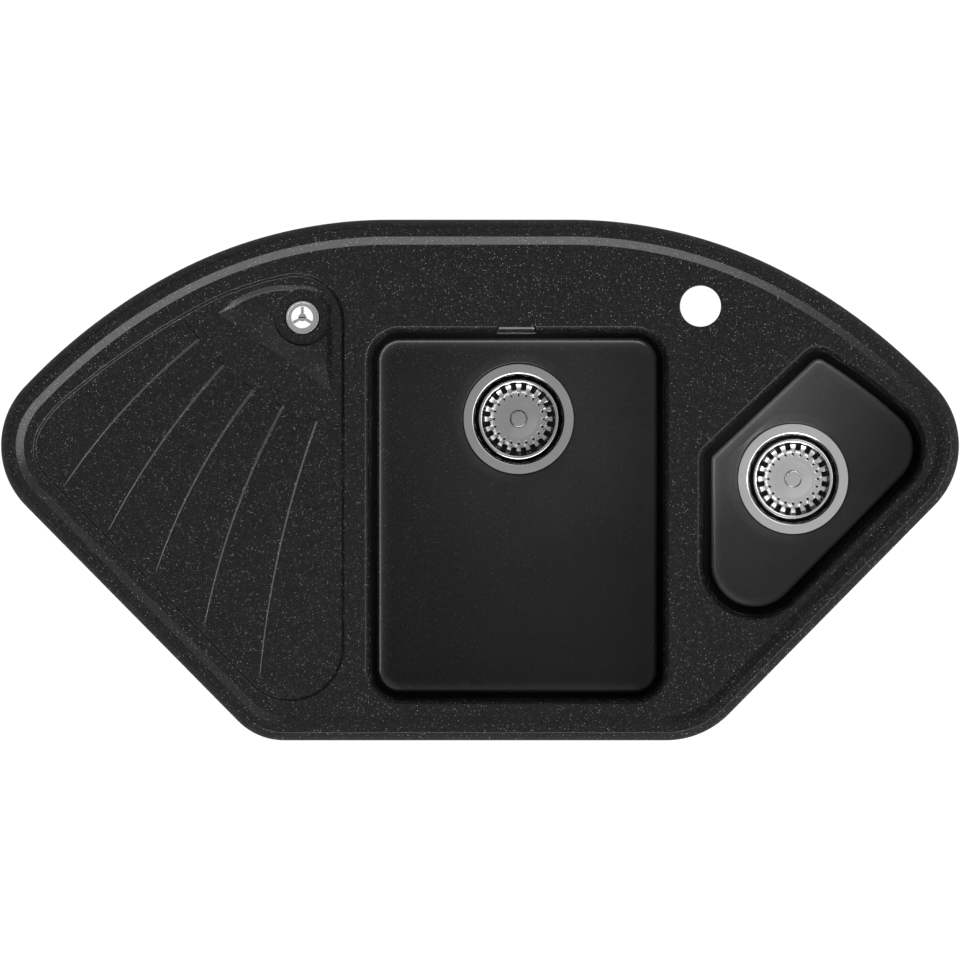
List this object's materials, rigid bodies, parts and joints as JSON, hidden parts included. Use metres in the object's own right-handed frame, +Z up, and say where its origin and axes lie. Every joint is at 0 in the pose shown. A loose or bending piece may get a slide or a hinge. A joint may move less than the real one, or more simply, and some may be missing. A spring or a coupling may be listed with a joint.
{
  "type": "corner kitchen sink",
  "caption": "Inset corner sink with a large bowl, a small bowl, a fluted drainer, a tap hole, an overflow and lift-out strainer wastes.",
  "frame": {"origin": "the middle of the front edge of the worktop's cut-out, on the worktop's top face, where the rim's underside rests", "axes": "+X to the right along the front edge, +Y back into the corner, +Z up; the rim's front edge is 12 mm in front of the origin"},
  "size_m": [0.975, 0.53, 0.286],
  "materials": {
    "granite": "matt, finely speckled composite",
    "pressed_steel": "satin",
    "polished_steel": "polished",
    "galvanised_steel": "zinc coated",
    "brass": "turned",
    "rubber": "matt",
    "white_plastic": "moulded"
  },
  "bodies": {
    "sink": {"sink_body": "granite", "main_flange": "pressed_steel", "main_flange_seal": "rubber", "main_clamp_screw": "pressed_steel", "main_insert": "brass", "main_waste_gasket": "rubber", "main_waste_body": "white_plastic", "small_flange": "pressed_steel", "small_flange_seal": "rubber", "small_clamp_screw": "pressed_steel", "small_insert": "brass", "small_waste_gasket": "rubber", "small_waste_body": "white_plastic", "overflow_cover": "polished_steel", "overflow_screw": "polished_steel", "overflow_gasket": "rubber", "overflow_body": "white_plastic", "rosette": "polished_steel", "rosette_screw": "polished_steel", "rosette_gasket": "rubber", "drainer_tail": "white_plastic", "clip_brackets": "galvanised_steel", "clip_screws": "galvanised_steel", "clip_inserts": "brass"},
    "main_lift": {"main_knob": "polished_steel", "main_stem": "polished_steel", "main_plug": "rubber"},
    "main_strainer": {"main_basket": "pressed_steel"},
    "small_lift": {"small_knob": "polished_steel", "small_stem": "polished_steel", "small_plug": "rubber"},
    "small_strainer": {"small_basket": "pressed_steel"}
  },
  "joints": [
    {"name": "main_basket_lift", "type": "slide", "parent": "sink", "child": "main_lift", "axis": [0, 0, 1], "range_m": [0, 0.245]},
    {"name": "main_basket_turn", "type": "hinge", "parent": "main_lift", "child": "main_strainer", "pos_m": [0.0393, 0.3152, -0.208], "axis": [0, 0, 1], "continuous": true},
    {"name": "small_basket_lift", "type": "slide", "parent": "sink", "child": "small_lift", "axis": [0, 0, 1], "range_m": [0, 0.185]},
    {"name": "small_basket_turn", "type": "hinge", "parent": "small_lift", "child": "small_strainer", "pos_m": [0.3186, 0.2541, -0.148], "axis": [0, 0, 1], "continuous": true}
  ]
}
